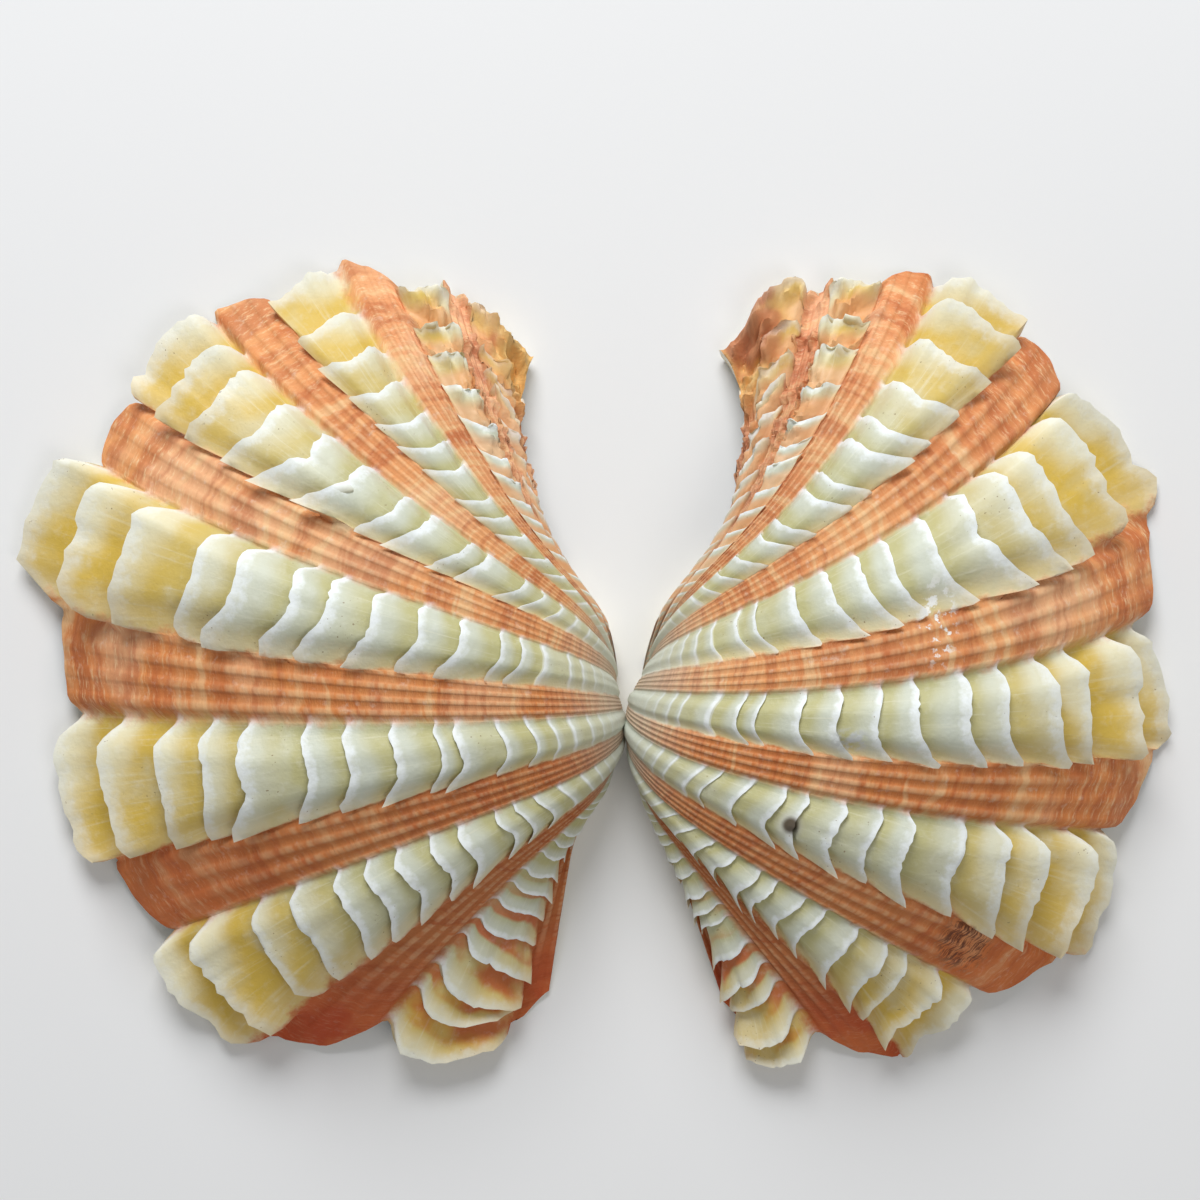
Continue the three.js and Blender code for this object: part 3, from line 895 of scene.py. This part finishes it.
def rib_finish(t, at):
    hinge_half = t.step(at.side, 0.35, -0.45)
    root_place = t.add(at.place, t.times(t.math("SUBTRACT", at.broad, 0.5), 0.6),
                   t.times(hinge_half, at.young, 0.34))
    body = rib_body(t, at, root_place)
    # tan along the hinge flank of each rib
    body = t.mix(t.times(t.step(at.shifted, -0.30, -0.60), 0.55), body, HINGE_FLANK_TAN)
    first_rib = t.times(t.step(at.u, 2.3, 1.7), t.step(root_place, 0.50, 0.62), t.step(at.turn, 0.9, 0.5))
    body = t.mix(t.times(first_rib, t.step(at.broad, 0.62, 0.40), 0.9), body, HINGE_RED)
    dots = t.step(t.noise(at.spot, 1300.0, 1.0, 0.4), 0.73, 0.77)
    body = t.mix(t.times(dots, t.step(at.broad, 0.52, 0.62), 0.7), body, SPECK_BROWN)
    body = t.mix(t.step(at.turn, 1.2, 2.0), body, BEAK_GREY)
    body = t.mix(t.times(t.step(at.fine, 0.5, 0.8), 0.18), body, GRAIN_WHITE)
    ground = t.mix(t.step(at.broad, 0.40, 0.62), BYSSAL_PINK, BYSSAL_ORANGE)
    between = t.step(t.add(at.place, t.times(at.broad, 0.5)), 0.48, 0.78)
    body = t.mix(t.times(t.step(at.u, 11.8, 12.6), between, 0.75), body, ground)
    patch = t.times(t.mark(at.spot, WORN_PATCH, 1.0, 1.8), t.step(at.fine, 0.35, 0.6))
    return t.mix(patch, body, PATCH_GREY)


print("rib finish defined")

# %% [markdown]
# Last come the ear, the growth break and the bored pit, which cross ribs and furrows
# alike; the dark inside the pit is painted shade. Fibres, riblets and grit are also
# felt as relief, by a Bump node.

# %% Shell material
EAR_YELLOW, EAR_BROWN, BREAK_WHITE = (.80, .50, .16, 1), (.52, .20, .09, 1), (.90, .90, .86, 1)
PIT_RIM, PIT_SHADE = (.70, .68, .60, 1), (.10, .07, .04, 1)


def marked(t, at, colour):
    ear = t.times(t.step(at.u, 14.4, 15.3), t.step(at.turn, 0.34, 0.12))
    ear_tone = t.mix(t.step(at.broad, 0.46, 0.60), EAR_YELLOW, EAR_BROWN)
    colour = t.mix(t.times(ear, 0.85), colour, ear_tone)
    chalk = t.times(t.mark(at.spot, GROWTH_BREAK, 1.0, 0.45), t.step(at.fine, 0.52, 0.62))
    colour = t.mix(chalk, colour, BREAK_WHITE)
    colour = t.mix(t.times(t.mark(at.spot, PIT, 2.0), 0.5), colour, PIT_RIM)
    # painted shade inside the bored pit
    return t.mix(t.times(t.mark(at.spot, PIT, 1.3), 0.95), colour, PIT_SHADE)


def shell_outside(name, warm):
    material = bpy.data.materials.new(name)
    material.use_nodes = True
    surface = material.node_tree.nodes["Principled BSDF"]
    t = Tree(material.node_tree, shader=True)
    at = shell_places(t)
    colour = t.mix(at.rib, furrow_finish(t, at, warm), rib_finish(t, at))
    t.put(surface.inputs["Base Color"], marked(t, at, colour))
    rough = t.add(t.times(at.rib, -0.20), t.times(at.fine, 0.18), 0.60)
    t.put(surface.inputs["Roughness"], rough)
    surface.inputs["Specular IOR Level"].default_value = 0.35
    grit = t.noise(at.spot, 900.0, 4.0, 0.6)
    in_furrow = t.math("SUBTRACT", 1.0, at.rib)
    relief = t.add(t.times(at.fibres, in_furrow, 0.9), t.times(at.ridge, in_furrow, 0.5),
                   t.times(grit, 0.25), t.times(at.fine, at.rib, 0.5))
    bump = t.node("ShaderNodeBump", {"Strength": 0.55, "Distance": 0.0006, "Height": relief})
    t.put(surface.inputs["Normal"], bump.outputs[0])
    return material


RIBLET_WARMTH = 0.4             # from cream riblets, 0, to tan ones, 1
outside_finish = shell_outside("clam_outside", RIBLET_WARMTH)
print("outside finish:", len(outside_finish.node_tree.nodes), "nodes")

# %% [markdown]
# ## The inside finish
# The hollow side is smooth and white as porcelain, with soft duller clouds such as
# the closing muscle leaves, and a little yellow low down, at the margin.

# %% Porcelain material
PORCELAIN, DULL_WHITE, MARGIN_CREAM = (.80, .80, .76, 1), (.70, .71, .68, 1), (.80, .72, .52, 1)


def shell_inside(name):
    material = bpy.data.materials.new(name)
    material.use_nodes = True
    surface = material.node_tree.nodes["Principled BSDF"]
    t = Tree(material.node_tree, shader=True)
    spot = t.node("ShaderNodeTexCoord").outputs["Object"]
    clouds = t.noise(spot, 35.0, 4.0, 0.55)
    height = t.node("ShaderNodeSeparateXYZ", {0: spot}).outputs[2]
    colour = t.mix(t.step(clouds, 0.4, 0.7), PORCELAIN, DULL_WHITE)
    colour = t.mix(t.step(height, 12 * MM, 0.0), colour, MARGIN_CREAM)
    t.put(surface.inputs["Base Color"], colour)
    surface.inputs["Roughness"].default_value = 0.32
    waves = t.noise(spot, 120.0, 3.0)
    bump = t.node("ShaderNodeBump", {"Strength": 0.25, "Distance": 0.0008, "Height": waves})
    t.put(surface.inputs["Normal"], bump.outputs[0])
    return material


inside_finish = shell_inside("clam_inside")
print("inside finish:", len(inside_finish.node_tree.nodes), "nodes")

# %% [markdown]
# ## Growing the two valves
# The tree is put on each smooth valve, its sizes are set by socket identifier,
# and the result is kept as a plain mesh, because the library stores meshes. Edges
# sharper than SHARP stay crisp, so that lips and rims don't look like soft wax.

# %% Grow the valves
SHARP = math.radians(55)


def raise_flutes(valve):
    smooth = bpy.data.objects.new(valve["node"] + "_smooth", skins[valve["node"]])
    bpy.context.collection.objects.link(smooth)
    modifier = smooth.modifiers.new("flutes", "NODES")
    modifier.node_group = flutes
    sockets = {s.name: s.identifier for s in flutes.interface.items_tree if s.in_out == "INPUT"}
    for name, amount in FLUTE_SIZES.items():
        modifier[sockets[name]] = amount
    modifier[sockets["Hinge Way"]] = float(-valve["side"])
    modifier[sockets["Material"]] = outside_finish
    modifier[sockets["Inside Material"]] = inside_finish
    depsgraph = bpy.context.evaluated_depsgraph_get()
    mesh = bpy.data.meshes.new_from_object(
        smooth.evaluated_get(depsgraph), preserve_all_data_layers=True, depsgraph=depsgraph)
    bpy.data.objects.remove(smooth)
    mesh.shade_smooth()
    mesh.set_sharp_from_angle(angle=SHARP)
    grown = bpy.data.objects.new(valve["node"] + "_shell", mesh)
    bpy.context.collection.objects.link(grown)
    return grown


shells = []
for valve in (LEFT, RIGHT):
    shell = raise_flutes(valve)
    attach(shell, "root")
    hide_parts(valve["node"])
    shells.append(shell)
    low = [min(v.co[k] for v in shell.data.vertices) / MM for k in range(3)]
    high = [max(v.co[k] for v in shell.data.vertices) / MM for k in range(3)]
    triangles = sum(len(p.vertices) - 2 for p in shell.data.polygons)
    print(shell.name, [round(a, 1) for a in low], [round(a, 1) for a in high], triangles)

# %% [markdown]
# ## Floor, light and camera
# The shell lies on a plain pale floor under soft light that comes mostly from
# the byssal side, and is seen from straight above.


# %% Stage
FLOOR_SIZE = 6                  # metres
FLOOR_GREY = (.86, .86, .86, 1)
SKY_TINT, SKY_STRENGTH = (.95, .97, 1, 1), 0.27


def pale_floor():
    bpy.ops.mesh.primitive_plane_add(size=FLOOR_SIZE, location=(0, 0, 0))
    floor = bpy.context.object
    floor.name = "floor"
    material = bpy.data.materials.new("pale_floor")
    material.use_nodes = True
    surface = material.node_tree.nodes["Principled BSDF"]
    surface.inputs["Base Color"].default_value = FLOOR_GREY
    surface.inputs["Roughness"].default_value = 0.9
    surface.inputs["Specular IOR Level"].default_value = 0.1
    floor.data.materials.append(material)


def area_light(name, place, target, size, power, colour):
    data = bpy.data.lights.new(name, "AREA")
    data.shape, data.size, data.energy, data.color = "DISK", size, power, colour
    lamp = bpy.data.objects.new(name, data)
    lamp.location = place
    lamp.rotation_euler = (Vector(target) - Vector(place)).to_track_quat("-Z", "Y").to_euler()
    bpy.context.collection.objects.link(lamp)


pale_floor()
area_light("window", (-0.15, 1.15, 0.92), (0, 0, 0), 0.9, 20, (.97, .985, 1))
area_light("lamp", (0.5, -0.5, 1.2), (0, 0, 0), 0.8, 3, (1, .97, .92))
world = bpy.data.worlds.new("studio")
world.use_nodes = True
sky = world.node_tree.nodes["Background"]
sky.inputs[0].default_value = SKY_TINT
sky.inputs[1].default_value = SKY_STRENGTH
bpy.context.scene.world = world
bpy.context.scene.view_settings.view_transform = "Standard"
print("lights: window, lamp and sky")

# %% Camera
VIEW_HEIGHT = 0.75              # metres above the floor
VIEW_WIDTH = 0.300              # metres of floor that the frame takes in
SENSOR_WIDTH = 36               # millimetres
camera_data = bpy.data.cameras.new("camera")
camera_data.sensor_width = SENSOR_WIDTH
camera_data.lens = SENSOR_WIDTH * VIEW_HEIGHT / VIEW_WIDTH
camera = bpy.data.objects.new("camera", camera_data)
camera.location = (-MIDDLE[0] * MM, -MIDDLE[1] * MM, VIEW_HEIGHT)
camera.rotation_euler = (0, 0, 0)
bpy.context.collection.objects.link(camera)
bpy.context.scene.camera = camera
print("camera", round(VIEW_HEIGHT, 2), "m above the floor")
